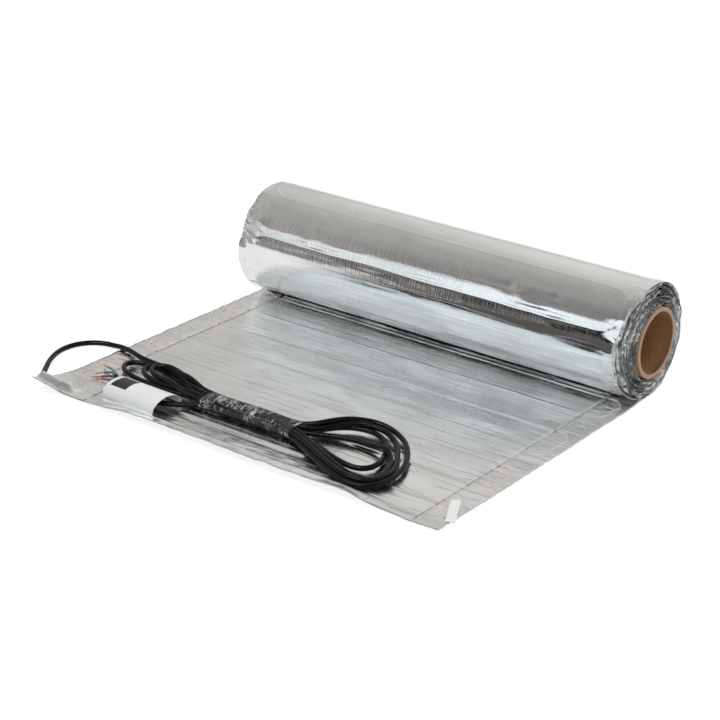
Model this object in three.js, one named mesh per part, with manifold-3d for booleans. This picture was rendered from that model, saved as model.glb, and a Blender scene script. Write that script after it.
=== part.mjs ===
// Underfloor heating kit: a laminated foil heating mat on a cardboard core, its first stretch
// unrolled in front of the roll, with the supply lead bundled and lying on the mat.
// Millimetres, +Z up. X runs along the roll, +Y from the mat's front edge towards the roll.
// The origin is on the floor, under the middle of the mat and roll.

import * as THREE from 'three';
import { mergeVertices } from 'three/addons/utils/BufferGeometryUtils.js';
import Module from 'manifold-3d';

const wasm = await Module();
wasm.setup();

// Mat: a base foil, and a narrower cover foil laid over the heating cable
const MAT_WIDTH = 500;
const UNROLLED_LENGTH = 383;
const BASE_THICKNESS = 0.5;
const COVER_THICKNESS = 0.3;
const COVER_SIDE_MARGIN = 31;
const COVER_FRONT_MARGIN = 1.5;

// Space left between pieces that touch
const FIT_GAP = 0.3;

// Roll: the wound turns, which show as ridges on both ends
const TURNS = 9;
const TURN_PITCH = 2.775;
const GROOVE_DEPTH = 3;
const GROOVE_WIDTH = 1;
const END_STEP = 0.18;
const ROUND_SIDES = 48;

// Cardboard core
const CORE_BORE = 67;
const CORE_WALL = 4.7;
const CORE_LENGTH = 510;

// Heating cable, laid to and fro across the mat
const CABLE_DIAMETER = 2;
const CABLE_SIDES = 8;
const FIRST_RUN_INSET = 11;
const SECOND_RUN_INSET = 44;
const RUN_PITCH = 51.8;
const BEND_EDGE_DISTANCE = 9;
const BEND_RADIUS = 16;
const BEND_STEPS = 4;
const RIDGE_FOOT = 3.5;
const RIDGE_CREST = 1.2;

// Splice between heating cable and supply lead, under a foil patch
const SPLICE_DIAMETER = 7;
const SPLICE_LENGTH = 26;
const SPLICE_SIDE_MARGIN = 4;
const SPLICE_SIDES = 16;
const PATCH_SIDE_MARGIN = 2;
const PATCH_FRONT_MARGIN = 1;
const PATCH_LENGTH = 40;
const PATCH_FOOT = 7.5;
const PATCH_CREST = 4.5;

// White tape tag at the front right corner, laid over the first bend of the cable
const TAG_WIDTH = 10;
const TAG_LENGTH = 46;
const TAG_THICKNESS = 0.3;
const TAG_SIDE_MARGIN = 10;
const TAG_FRONT_MARGIN = 38;
const TAG_TURN = 27;
const TAG_FOOT = 8;
const TAG_SLOPE = 5;

// Supply lead and its three cores
const LEAD_DIAMETER = 5.6;
const LEAD_SIDES = 10;
const LEAD_STEP = 14;
const CORE_WIRE_DIAMETER = 2.2;
const CORE_WIRE_STEP = 6;

// Bundled lead: a narrow wrapped waist between a small loop and a large one
const BUNDLE_HEIGHT = 11.8;
const WAIST_WIDTH = 22;
const WAIST_LEFT = -86;
const WAIST_RIGHT = 34;
const WAIST_Y = -311;
const LARGE_LOOP = { x: 108, y: -311, radius: 66, hole: 38 };
const SMALL_LOOP = { x: -197, y: -289, radius: 22, hole: 9 };
const WRAP_THICKNESS = 0.5;
const WRAP_END_INSET = 3;
const WRAP_CORNER = 1;

// Label folded over the end of the lead
const LABEL_LEFT = -183;
const LABEL_LENGTH = 75;
const LABEL_Y = -346;
const LABEL_HALF_SPAN = 20.5;
const LABEL_THICKNESS = 0.3;
const LABEL_CLEARANCE = 2.5;
const LABEL_STEPS = 12;

// Routes of the free cords, as [x, y, z] with x and y measured from the middle of the roll's axis
const LEAD_ROUTE = [
  [-246.3, -372, 4.3], [-252, -372, 4.2], [-259, -368, 3.6], [-266, -360.5, 3.1],
  [-275, -348, 2.9], [-285, -333, 2.9], [-292.5, -318, 2.9], [-297, -303, 2.9],
  [-297, -288, 2.9], [-293, -276, 2.9], [-285, -266, 2.9], [-274, -259, 2.9],
  [-262, -257, 3.2], [-250, -258, 4.4], [-237, -261.5, 5.8], [-224, -266, 6.5],
  [-212, -270.5, 6.6],
];
const TAIL_ROUTE = [
  [-90, -325.4, 6.6], [-98, -333, 6.6], [-109, -340.5, 6.6], [-123, -345.5, 6.6],
  [-139, -347, 6.6], [-155, -346, 6.6], [-170, -342.5, 6.6], [-184, -335.5, 6.6],
  [-197, -324.5, 6.6],
];
const GREEN_ROUTE = [
  [-196.7, -323.2, 7.3], [-201.5, -319.7, 7.3], [-214, -312.5, 6.2], [-231, -306, 3.4],
];
const BLUE_ROUTE = [
  [-198.2, -325.2, 7.3], [-203, -321.7, 7.1], [-211, -319.5, 6], [-225, -325.5, 2.6],
];
const BROWN_ROUTE = [
  [-197.5, -324.2, 5.1], [-202.3, -320.9, 4.4], [-211, -324.5, 2.9], [-221, -335, 2.7],
];

// Sizes that follow from the ones above
const rollBore = CORE_BORE / 2 + CORE_WALL + FIT_GAP;
const rollRadius = rollBore + TURNS * TURN_PITCH;
const matHalf = MAT_WIDTH / 2;
const frontEdge = -UNROLLED_LENGTH;
const layerFloor = BASE_THICKNESS + FIT_GAP;
const cableTop = layerFloor + CABLE_DIAMETER;
const ridgeTop = cableTop + FIT_GAP + COVER_THICKNESS;
const coverTop = layerFloor + COVER_THICKNESS;
const coverHalf = matHalf - COVER_SIDE_MARGIN;
const bundleFloor = ridgeTop + FIT_GAP;

const colours = {
  foil: { color: 0xc9c8c6, roughness: 0.25, metalness: 0.95 },
  cardboard: { color: 0xa87b57, roughness: 0.85, metalness: 0 },
  cable: { color: 0xc99a86, roughness: 0.5, metalness: 0 },
  sheath: { color: 0x151515, roughness: 0.4, metalness: 0 },
  film: { color: 0x4a4a4c, roughness: 0.2, metalness: 0 },
  label: { color: 0xf2f2f0, roughness: 0.5, metalness: 0 },
  green: { color: 0x2c9a6c, roughness: 0.45, metalness: 0 },
  blue: { color: 0x4f74a8, roughness: 0.45, metalness: 0 },
  brown: { color: 0x9a4a38, roughness: 0.45, metalness: 0 },
};

// The Y at which the roll's underside has risen to a height above the floor
function nipY(height) {
  return -Math.sqrt(2 * rollRadius * height - height * height);
}

// A closed mesh with shared vertices, as a solid that can be joined and cut
function toSolid(geometry) {
  const bare = geometry.index ? geometry.clone() : geometry;
  bare.deleteAttribute('normal');
  bare.deleteAttribute('uv');
  const merged = mergeVertices(bare, 1e-4);
  return new wasm.Manifold(new wasm.Mesh({
    numProp: 3,
    vertProperties: new Float32Array(merged.attributes.position.array),
    triVerts: new Uint32Array(merged.index.array),
  }));
}

function toGeometry(solid) {
  const mesh = solid.getMesh();
  const geometry = new THREE.BufferGeometry();
  geometry.setAttribute('position', new THREE.BufferAttribute(new Float32Array(mesh.vertProperties), 3));
  geometry.setIndex(new THREE.BufferAttribute(new Uint32Array(mesh.triVerts), 1));
  geometry.computeVertexNormals();
  return geometry;
}

// A profile of [radius, x] points, turned about the roll's axis
function turned(profile) {
  const points = profile.map(([radius, x]) => new THREE.Vector2(radius, x));
  points.push(points[0].clone());
  const geometry = new THREE.LatheGeometry(points, ROUND_SIDES);
  geometry.rotateZ(-Math.PI / 2);
  geometry.translate(0, 0, rollRadius);
  return geometry;
}

// A shape drawn in Y and Z, carried along X
function alongX(shape, left, length) {
  const geometry = new THREE.ExtrudeGeometry(shape, { depth: length, bevelEnabled: false, curveSegments: 4 });
  const yAxis = new THREE.Vector3(0, 1, 0);
  const zAxis = new THREE.Vector3(0, 0, 1);
  const xAxis = new THREE.Vector3(1, 0, 0);
  geometry.applyMatrix4(new THREE.Matrix4().makeBasis(yAxis, zAxis, xAxis));
  geometry.translate(left, 0, 0);
  return geometry;
}

// A thin sheet seen on edge: points along its underside, and its thickness above them
function sheetShape(underside, thickness) {
  const top = underside.map(([along, height]) => [along, height + thickness]).reverse();
  return new THREE.Shape([...underside, ...top].map(([along, height]) => new THREE.Vector2(along, height)));
}

// The underside of a sheet where it passes over something: flat, up, over and down again
function raised(middle, foot, crest, lift) {
  return [
    [middle - foot, layerFloor],
    [middle - crest, layerFloor + lift],
    [middle + crest, layerFloor + lift],
    [middle + foot, layerFloor],
  ];
}

// A path whose steps fall on its own points, so that straight stretches take one step
class PointPath extends THREE.Curve {
  constructor(points) {
    super();
    this.points = points;
  }

  getPoint(t, target = new THREE.Vector3()) {
    const place = t * (this.points.length - 1);
    const index = Math.min(Math.floor(place), this.points.length - 2);
    return target.lerpVectors(this.points[index], this.points[index + 1], place - index);
  }

  getUtoTmapping(u) {
    return u;
  }
}

// A round bar of a given diameter along a curve
function bar(curve, steps, diameter, sides) {
  const section = new THREE.Shape(
    Array.from({ length: sides }, (_, index) => {
      const angle = (2 * Math.PI * index) / sides;
      return new THREE.Vector2(Math.cos(angle), Math.sin(angle)).multiplyScalar(diameter / 2);
    }),
  );
  return new THREE.ExtrudeGeometry(section, { steps, extrudePath: curve, bevelEnabled: false });
}

// A free cord through points chosen by hand
function cord(route, diameter, sides, step) {
  const curve = new THREE.CatmullRomCurve3(route.map((point) => new THREE.Vector3(...point)));
  const steps = Math.ceil(curve.getLength() / step);
  return bar(curve, steps, diameter, sides);
}

function coreTube() {
  const inner = CORE_BORE / 2;
  const outer = inner + CORE_WALL;
  const half = CORE_LENGTH / 2;
  return turned([[inner, -half], [outer, -half], [outer, half], [inner, half]]);
}

// Ridges and grooves of the wound turns on one end, from the bore outwards
function endRidges() {
  const ridges = [];
  for (let turn = 0; turn < TURNS; turn += 1) {
    const inner = rollBore + turn * TURN_PITCH;
    const outer = inner + TURN_PITCH;
    const face = matHalf - turn * END_STEP;
    const first = turn === 0;
    const last = turn === TURNS - 1;
    ridges.push([first ? inner : inner + GROOVE_WIDTH / 2, face]);
    ridges.push([last ? outer : outer - GROOVE_WIDTH / 2, face]);
    if (!last) {
      ridges.push([outer, face - GROOVE_DEPTH]);
    }
  }
  return ridges;
}

// The wound turns and the unrolled stretch are one sheet
function foilMat() {
  const ridges = endRidges();
  const leftEnd = ridges.map(([radius, x]) => [radius, -x]);
  const roll = toSolid(turned([...leftEnd, ...ridges.reverse()]));
  const flat = new THREE.BoxGeometry(MAT_WIDTH, UNROLLED_LENGTH, BASE_THICKNESS);
  flat.translate(0, frontEdge / 2, BASE_THICKNESS / 2);
  return toGeometry(roll.add(toSolid(flat)));
}

// Places of the cable's straight runs, from the front edge to the roll
function runPlaces() {
  const places = [frontEdge + FIRST_RUN_INSET];
  const limit = nipY(ridgeTop + FIT_GAP) - RIDGE_FOOT / 2;
  for (let y = frontEdge + SECOND_RUN_INSET; y < limit; y += RUN_PITCH) {
    places.push(y);
  }
  return places;
}

function coverFoil() {
  const runs = runPlaces();
  const lift = CABLE_DIAMETER + FIT_GAP;
  const underside = [
    [frontEdge + COVER_FRONT_MARGIN, layerFloor],
    ...runs.flatMap((y) => raised(y, RIDGE_FOOT, RIDGE_CREST, lift)),
    [nipY(coverTop + FIT_GAP), layerFloor],
  ];
  return alongX(sheetShape(underside, COVER_THICKNESS), -coverHalf, 2 * coverHalf);
}

// Points of a quarter bend, or less of it, that turns from a run towards the roll
function quarterBend(side, centreX, centreY, from, to) {
  return Array.from({ length: BEND_STEPS + 1 }, (_, step) => {
    const angle = THREE.MathUtils.degToRad(from + ((to - from) * step) / BEND_STEPS);
    const x = side * (centreX + BEND_RADIUS * Math.cos(angle));
    return [x, centreY + BEND_RADIUS * Math.sin(angle)];
  });
}

function heatingCable() {
  const runs = runPlaces();
  const height = layerFloor + CABLE_DIAMETER / 2;
  const centreX = matHalf - BEND_EDGE_DISTANCE - BEND_RADIUS;
  const start = -matHalf + SPLICE_SIDE_MARGIN + SPLICE_LENGTH + FIT_GAP;
  const path = [[start, runs[0]]];
  runs.slice(0, -1).forEach((y, index) => {
    const side = index % 2 === 0 ? 1 : -1;
    path.push(...quarterBend(side, centreX, y + BEND_RADIUS, -90, 0));
    path.push(...quarterBend(side, centreX, runs[index + 1] - BEND_RADIUS, 0, 90));
  });
  // The last run turns towards the roll and stops just before the nip
  const lastRun = runs[runs.length - 1];
  const room = nipY(cableTop + FIT_GAP) - CABLE_DIAMETER - lastRun;
  const turn = THREE.MathUtils.radToDeg(Math.acos(Math.max(0, 1 - room / BEND_RADIUS)));
  const lastSide = runs.length % 2 === 0 ? -1 : 1;
  path.push(...quarterBend(lastSide, centreX, lastRun + BEND_RADIUS, -90, turn - 90));
  const points = path.map(([x, y]) => new THREE.Vector3(x, y, height));
  return bar(new PointPath(points), points.length - 1, CABLE_DIAMETER, CABLE_SIDES);
}

function leadSplice() {
  const geometry = new THREE.CylinderGeometry(
    SPLICE_DIAMETER / 2, SPLICE_DIAMETER / 2, SPLICE_LENGTH, SPLICE_SIDES,
  );
  geometry.rotateZ(Math.PI / 2);
  const middle = -matHalf + SPLICE_SIDE_MARGIN + SPLICE_LENGTH / 2;
  geometry.translate(middle, runPlaces()[0], layerFloor + SPLICE_DIAMETER / 2);
  return geometry;
}

function jointPatch() {
  const front = frontEdge + PATCH_FRONT_MARGIN;
  const underside = [
    [front, layerFloor],
    ...raised(runPlaces()[0], PATCH_FOOT, PATCH_CREST, SPLICE_DIAMETER + FIT_GAP),
    [front + PATCH_LENGTH, layerFloor],
  ];
  const left = -matHalf + PATCH_SIDE_MARGIN;
  const right = -coverHalf - FIT_GAP;
  return alongX(sheetShape(underside, COVER_THICKNESS), left, right - left);
}

// Drawn along Y, then turned and set down on the corner
function cornerTag() {
  const half = TAG_LENGTH / 2;
  const lift = CABLE_DIAMETER + FIT_GAP;
  const underside = [
    [-half, layerFloor],
    ...raised(0, half - TAG_FOOT + TAG_SLOPE, half - TAG_FOOT, lift),
    [half, layerFloor],
  ];
  const geometry = alongX(sheetShape(underside, TAG_THICKNESS), -TAG_WIDTH / 2, TAG_WIDTH);
  geometry.rotateZ(THREE.MathUtils.degToRad(TAG_TURN));
  geometry.translate(matHalf - TAG_SIDE_MARGIN, frontEdge + TAG_FRONT_MARGIN, 0);
  return geometry;
}

// Angle, about a loop's middle, at which a straight strand from a point touches the loop
function touchAngle(loop, x, y, side) {
  const away = Math.atan2(y - loop.y, x - loop.x);
  const distance = Math.hypot(x - loop.x, y - loop.y);
  return away + side * Math.acos(loop.radius / distance);
}

function leadHank() {
  const top = WAIST_Y + WAIST_WIDTH / 2;
  const bottom = WAIST_Y - WAIST_WIDTH / 2;
  const outline = new THREE.Shape();
  outline.moveTo(WAIST_LEFT, bottom);
  outline.lineTo(WAIST_RIGHT, bottom);
  outline.absarc(
    LARGE_LOOP.x, LARGE_LOOP.y, LARGE_LOOP.radius,
    touchAngle(LARGE_LOOP, WAIST_RIGHT, bottom, 1), touchAngle(LARGE_LOOP, WAIST_RIGHT, top, -1), false,
  );
  outline.lineTo(WAIST_RIGHT, top);
  outline.lineTo(WAIST_LEFT, top);
  outline.absarc(
    SMALL_LOOP.x, SMALL_LOOP.y, SMALL_LOOP.radius,
    touchAngle(SMALL_LOOP, WAIST_LEFT, top, 1), touchAngle(SMALL_LOOP, WAIST_LEFT, bottom, -1), false,
  );
  [LARGE_LOOP, SMALL_LOOP].forEach((loop) => {
    const hole = new THREE.Path();
    hole.absarc(loop.x, loop.y, loop.hole, 0, 2 * Math.PI, false);
    outline.holes.push(hole);
  });
  const geometry = new THREE.ExtrudeGeometry(outline, {
    depth: BUNDLE_HEIGHT, bevelEnabled: false, curveSegments: 14,
  });
  geometry.translate(0, 0, bundleFloor);
  return geometry;
}

// A rectangle with round corners, as a path
function roundedRectangle(path, left, bottom, width, height, corner) {
  const right = left + width;
  const top = bottom + height;
  const quarter = Math.PI / 2;
  path.absarc(right - corner, bottom + corner, corner, -quarter, 0, false);
  path.absarc(right - corner, top - corner, corner, 0, quarter, false);
  path.absarc(left + corner, top - corner, corner, quarter, 2 * quarter, false);
  path.absarc(left + corner, bottom + corner, corner, 2 * quarter, 3 * quarter, false);
  return path;
}

// The film is a sleeve round the waist of the bundle
function hankWrap() {
  const left = WAIST_Y - WAIST_WIDTH / 2 - FIT_GAP;
  const bottom = bundleFloor - FIT_GAP;
  const width = WAIST_WIDTH + 2 * FIT_GAP;
  const height = BUNDLE_HEIGHT + 2 * FIT_GAP;
  const outer = roundedRectangle(
    new THREE.Shape(), left - WRAP_THICKNESS, bottom - WRAP_THICKNESS,
    width + 2 * WRAP_THICKNESS, height + 2 * WRAP_THICKNESS, WRAP_CORNER,
  );
  const inner = new THREE.Path();
  inner.setFromPoints([
    new THREE.Vector2(left, bottom), new THREE.Vector2(left + width, bottom),
    new THREE.Vector2(left + width, bottom + height), new THREE.Vector2(left, bottom + height),
  ]);
  outer.holes.push(inner);
  const start = WAIST_LEFT + WRAP_END_INSET;
  return alongX(outer, start, WAIST_RIGHT - WRAP_END_INSET - start);
}

function leadLabel() {
  const foot = coverTop + FIT_GAP;
  const rise = bundleFloor + LEAD_DIAMETER + LABEL_CLEARANCE - foot;
  const arch = (halfSpan, height) => Array.from({ length: LABEL_STEPS + 1 }, (_, step) => {
    const angle = Math.PI - (Math.PI * step) / LABEL_STEPS;
    return [LABEL_Y + halfSpan * Math.cos(angle), foot + height * Math.sin(angle)];
  });
  const outer = arch(LABEL_HALF_SPAN, rise + LABEL_THICKNESS);
  const inner = arch(LABEL_HALF_SPAN - LABEL_THICKNESS, rise).reverse();
  const shape = new THREE.Shape([...inner, ...outer].map(([y, z]) => new THREE.Vector2(y, z)));
  return alongX(shape, LABEL_LEFT, LABEL_LENGTH);
}

function piece(name, geometry, colour) {
  const mesh = new THREE.Mesh(geometry, new THREE.MeshStandardMaterial(colours[colour]));
  mesh.name = name;
  return mesh;
}

const kit = new THREE.Group();
kit.position.y = (UNROLLED_LENGTH - rollRadius) / 2;
kit.add(
  piece('core_tube', coreTube(), 'cardboard'),
  piece('foil_mat', foilMat(), 'foil'),
  piece('cover_foil', coverFoil(), 'foil'),
  piece('heating_cable', heatingCable(), 'cable'),
  piece('lead_splice', leadSplice(), 'sheath'),
  piece('joint_patch', jointPatch(), 'foil'),
  piece('corner_tag', cornerTag(), 'label'),
  piece('supply_lead', cord(LEAD_ROUTE, LEAD_DIAMETER, LEAD_SIDES, LEAD_STEP), 'sheath'),
  piece('lead_hank', leadHank(), 'sheath'),
  piece('hank_wrap', hankWrap(), 'film'),
  piece('lead_tail', cord(TAIL_ROUTE, LEAD_DIAMETER, LEAD_SIDES, LEAD_STEP), 'sheath'),
  piece('lead_label', leadLabel(), 'label'),
  piece('green_core', cord(GREEN_ROUTE, CORE_WIRE_DIAMETER, CABLE_SIDES, CORE_WIRE_STEP), 'green'),
  piece('blue_core', cord(BLUE_ROUTE, CORE_WIRE_DIAMETER, CABLE_SIDES, CORE_WIRE_STEP), 'blue'),
  piece('brown_core', cord(BROWN_ROUTE, CORE_WIRE_DIAMETER, CABLE_SIDES, CORE_WIRE_STEP), 'brown'),
);

export default kit;
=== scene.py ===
"""Looks of the underfloor heating kit: foils, roll, core, heating cable, wrapped lead and its label.

Every length in this file is in metres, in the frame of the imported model, unless a name ends in _MM.
"""

import math

import bpy
import numpy as np
from mathutils import Matrix


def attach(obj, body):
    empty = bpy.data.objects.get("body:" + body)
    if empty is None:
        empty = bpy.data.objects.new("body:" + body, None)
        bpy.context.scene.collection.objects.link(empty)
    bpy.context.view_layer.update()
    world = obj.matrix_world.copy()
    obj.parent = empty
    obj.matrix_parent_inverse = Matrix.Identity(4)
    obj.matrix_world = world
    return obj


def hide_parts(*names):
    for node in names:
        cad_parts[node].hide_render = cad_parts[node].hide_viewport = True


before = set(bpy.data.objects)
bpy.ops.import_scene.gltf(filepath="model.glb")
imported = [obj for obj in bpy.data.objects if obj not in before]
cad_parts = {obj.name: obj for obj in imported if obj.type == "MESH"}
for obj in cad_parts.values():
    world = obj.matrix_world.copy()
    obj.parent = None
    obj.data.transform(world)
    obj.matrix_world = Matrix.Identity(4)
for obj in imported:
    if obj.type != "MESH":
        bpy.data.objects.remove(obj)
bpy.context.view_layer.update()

bl_info = {
    "name": "Underfloor heating kit",
    "version": (1, 0, 0),
    "blender": (4, 5, 0),
    "location": "View3D > Sidebar > Heating kit",
    "description": "Builds the looks of a foil heating mat on its core, with its bundled supply lead",
    "category": "Add Mesh",
}

BODY = "root"
MM = 0.001
ROLL_Y = 0.1597625
ROLL_Z = 0.063475
HALF_MAT = 0.25
FRONT_Y = -0.223235
COVER_HALF = 0.219
COVER_SET_BACK = 0.0016
BASE_TOP = 0.0005
COVER_TOP = 0.0011
RIDGE_RISE = 0.0009
RIDGE_WIDTH = 0.0021
COVER_THICK = 0.00025
# how far a lifted corner draws back, as a share of its rise
LIFT_PULL = 0.8
CABLE_RADIUS = 0.00065
CABLE_Z_MM = 0.8
RUNS_Y = tuple(ROLL_Y + MM * y for y in (-372, -339, -287.2, -235.4, -183.6, -131.8, -80, -28.2))
RUN_PITCH = 0.0518
SPLICE_Y = ROLL_Y - 0.372
# places along the axis at both ends of the roll: its skin, the hollow end and the foil edges in it
SKIN_END = HALF_MAT - 0.0016
POCKET_MOUTH = HALF_MAT - 0.016
POCKET_FLOOR = HALF_MAT - 0.019
EDGE_ROOT = HALF_MAT - 0.0185
EDGE_HALF_THICK = 0.00009
# anything farther along the axis than this is a cut end of the core
CORE_FACE = 0.2546
TAG_CENTRE = (0.240, ROLL_Y - 0.345)
TAG_SIZE = (0.046, 0.010)
TAG_TURN = math.radians(27)
# the copper tip of a stripped core: points of its line, and its thickness as a share of the core's
BARE_POINTS = 9
COPPER_SHARE = 0.6
FULL_TURN = 2 * math.pi
# rays past this depth get the fill light between the foil and the roll
LATER_BOUNCE = 2.5


def from_axis(points_mm):
    """Points measured in millimetres from the roll's axis, moved into the frame, in metres."""
    points = np.array(points_mm, dtype=float) * MM
    points[:, 1] += ROLL_Y
    return points


LEAD_ROUTE = from_axis([
    (-246.3, -372, 4.3), (-252, -372, 4.2), (-259, -368, 3.6), (-266, -360.5, 3.1), (-275, -348, 2.9),
    (-285, -333, 2.9), (-292.5, -318, 2.9), (-297, -303, 2.9), (-297, -288, 2.9), (-293, -276, 2.9),
    (-285, -266, 2.9), (-274, -259, 2.9), (-262, -257, 3.2), (-250, -258, 4.4), (-237, -261.5, 5.8),
    (-224, -266, 6.5), (-212, -270.5, 6.6),
])
TAIL_ROUTE = from_axis([
    (-98, -333, 6.6), (-109, -340.5, 6.6), (-123, -345.5, 6.6), (-139, -347, 6.6), (-155, -346, 6.6),
    (-170, -342.5, 6.6), (-184, -335.5, 6.6), (-197, -324.5, 6.6),
])
# these three are still in millimetres from the roll's axis
CORE_ROUTES_MM = {
    "green": [(-196.7, -323.2, 7.3), (-201.5, -319.7, 7.3), (-214, -312.5, 6.2), (-231, -306, 3.4)],
    "blue": [(-198.2, -325.2, 7.3), (-203, -321.7, 7.1), (-211, -319.5, 6), (-225, -325.5, 2.6)],
    "brown": [(-197.5, -324.2, 5.1), (-202.3, -320.9, 4.4), (-211, -324.5, 2.9), (-221, -335, 2.7)],
}

WAIST_LEFT = -0.084
WAIST_RIGHT = 0.032
WAIST_Y = ROLL_Y - 0.311
WAIST_LANES_MM = (8.4, 2.8, -2.8, -8.4)
LAYERS_MM = (6.5, 11.7)


# numpy helpers

def lattice_noise(u, v, seed, period_v=256):
    """Smooth noise from -1 to 1: random numbers at whole steps of u and v, blended between them with
    3t^2 - 2t^3, and repeating every period_v steps of v."""
    table = np.random.default_rng(seed).uniform(-1, 1, (256, 256))
    iu = np.floor(u).astype(int)
    iv = np.floor(v).astype(int)
    fu = u - iu
    fv = v - iv
    fu = fu * fu * (3 - 2 * fu)
    fv = fv * fv * (3 - 2 * fv)
    a = table[iu % 256, iv % period_v]
    b = table[(iu + 1) % 256, iv % period_v]
    c = table[iu % 256, (iv + 1) % period_v]
    d = table[(iu + 1) % 256, (iv + 1) % period_v]
    return (a * (1 - fu) + b * fu) * (1 - fv) + (c * (1 - fu) + d * fu) * fv


def line_noise(u, seed):
    """The same smooth noise from -1 to 1, of u only."""
    return lattice_noise(u, 0 * u, seed)


def creases(u, v, seed, period_v=256):
    """Sharp folds between flat facets: one minus twice the size of smooth noise, so that it peaks at 1 along
    the lines where the noise is nought."""
    return 1 - 2 * np.abs(lattice_noise(u, v, seed, period_v))


def step(x, low, high):
    """0 below low, 1 above high, and 3t^2 - 2t^3 between."""
    t = np.clip((x - low) / (high - low), 0, 1)
    return t * t * (3 - 2 * t)


def curve_through(points, spacing):
    """Catmull-Rom curve through the points, sampled 24 times a span and then evenly along its length."""
    p = np.vstack([2 * points[0] - points[1], points, 2 * points[-1] - points[-2]])
    t = np.linspace(0, 1, 24, endpoint=False)[:, None, None]
    p0, p1, p2, p3 = p[:-3], p[1:-2], p[2:-1], p[3:]
    spans = 0.5 * (2 * p1 + (p2 - p0) * t + (2 * p0 - 5 * p1 + 4 * p2 - p3) * t ** 2
                   + (3 * p1 - p0 - 3 * p2 + p3) * t ** 3)
    line = np.vstack([spans.transpose(1, 0, 2).reshape(-1, 3), points[-1:]])
    return evenly(line, spacing)


def evenly(line, spacing):
    """The same line with its points a spacing apart along its length."""
    along = np.concatenate([[0], np.cumsum(np.linalg.norm(np.diff(line, axis=0), axis=1))])
    count = max(4, int(round(along[-1] / spacing)) + 1)
    at = np.linspace(0, along[-1], count)
    return np.stack([np.interp(at, along, line[:, k]) for k in range(3)], axis=1)


def angles(count):
    """That many angles evenly round a full turn."""
    return np.linspace(0, FULL_TURN, count, endpoint=False)


def length_of(line):
    """The sum of the steps between the line's points."""
    return float(np.linalg.norm(np.diff(line, axis=0), axis=1).sum())


# meshes

def put_mesh(name, vertices, faces, material, smooth=True):
    """A new object at the origin with these vertices and faces, shaded smooth or flat, riding on the body."""
    mesh = bpy.data.meshes.new(name)
    mesh.from_pydata(vertices.tolist(), [], faces)
    mesh.validate()
    mesh.polygons.foreach_set("use_smooth", [smooth] * len(mesh.polygons))
    for m in material if isinstance(material, (list, tuple)) else [material]:
        mesh.materials.append(m)
    mesh.update()
    piece = bpy.data.objects.new(name, mesh)
    bpy.context.scene.collection.objects.link(piece)
    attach(piece, BODY)
    return piece


def grid_faces(rows, columns, close_rows=False, close_columns=False, first=0, flip=False):
    """Quads between neighbours of a rows by columns grid of vertices, wrapped round where it is closed."""
    index = np.arange(rows * columns).reshape(rows, columns) + first
    if close_rows:
        index = np.vstack([index, index[:1]])
    if close_columns:
        index = np.hstack([index, index[:, :1]])
    a, b, c, d = index[:-1, :-1], index[1:, :-1], index[1:, 1:], index[:-1, 1:]
    order = (a, d, c, b) if flip else (a, b, c, d)
    return np.stack(order, axis=-1).reshape(-1, 4)


def sheet_piece(name, top, bottom, material):
    """A closed thin sheet: the top grid faces up, the bottom grid faces down, and quads join their rims.
    Rows of the grids run along +X and columns along +Y."""
    rows, columns, _ = top.shape
    count = rows * columns
    upper = grid_faces(rows, columns)
    lower = grid_faces(rows, columns, first=count, flip=True)
    index = np.arange(count).reshape(rows, columns)
    ring = np.concatenate([index[:, 0], index[-1, 1:], index[-2::-1, -1], index[0, -2:0:-1]])
    after = np.roll(ring, -1)
    rim = np.stack([ring, ring + count, after + count, after], axis=-1)
    vertices = np.vstack([top.reshape(-1, 3), bottom.reshape(-1, 3)])
    return put_mesh(name, vertices, np.vstack([upper, lower, rim]).tolist(), material)


def flat_piece(name, x, y, z, thickness, material):
    """A thin sheet with its top at x, y and z and its bottom the thickness lower, but not under the floor."""
    top = np.stack([x, y, z], axis=-1)
    bottom = np.stack([x, y, np.maximum(z - thickness, 0)], axis=-1)
    return sheet_piece(name, top, bottom, bpy.data.materials[material])


def ring_piece(name, grid, material):
    """A closed ring: the grid's last row joins its first one, and its last column its first one."""
    faces = grid_faces(*grid.shape[:2], close_rows=True, close_columns=True)
    return put_mesh(name, grid.reshape(-1, 3), faces.tolist(), bpy.data.materials[material])


def frames_along(line):
    """Two unit vectors across the line at each point, turned as little as possible from one to the next."""
    tangent = np.gradient(line, axis=0)
    tangent /= np.linalg.norm(tangent, axis=1, keepdims=True)
    side = np.cross(tangent, [0.0, 0.0, 1.0])
    size = np.linalg.norm(side, axis=1, keepdims=True)
    side = np.where(size > 1e-4, side / np.maximum(size, 1e-9), [1.0, 0.0, 0.0])
    return side, np.cross(side, tangent)


def tube_rings(line, radius, sides):
    """Circles of the radius round each point of the line, square to it."""
    side, up = frames_along(line)
    turn = angles(sides)[None, :, None]
    return line[:, None] + radius * (np.cos(turn) * side[:, None] + np.sin(turn) * up[:, None])


def tube_faces(rows, sides, first=0):
    """Quads of a tube and one face at each of its ends."""
    quads = grid_faces(rows, sides, close_columns=True, first=first, flip=True).tolist()
    start = list(range(first, first + sides))
    end = [first + (rows - 1) * sides + k for k in range(sides)]
    return quads + [start, end[::-1]]


def tube_piece(name, line, radius, sides, material):
    """A round bar along the line, closed at both ends."""
    rings = tube_rings(line, radius, sides)
    return put_mesh(name, rings.reshape(-1, 3), tube_faces(len(line), sides), material)


# sizes and colours that a user would change

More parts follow.
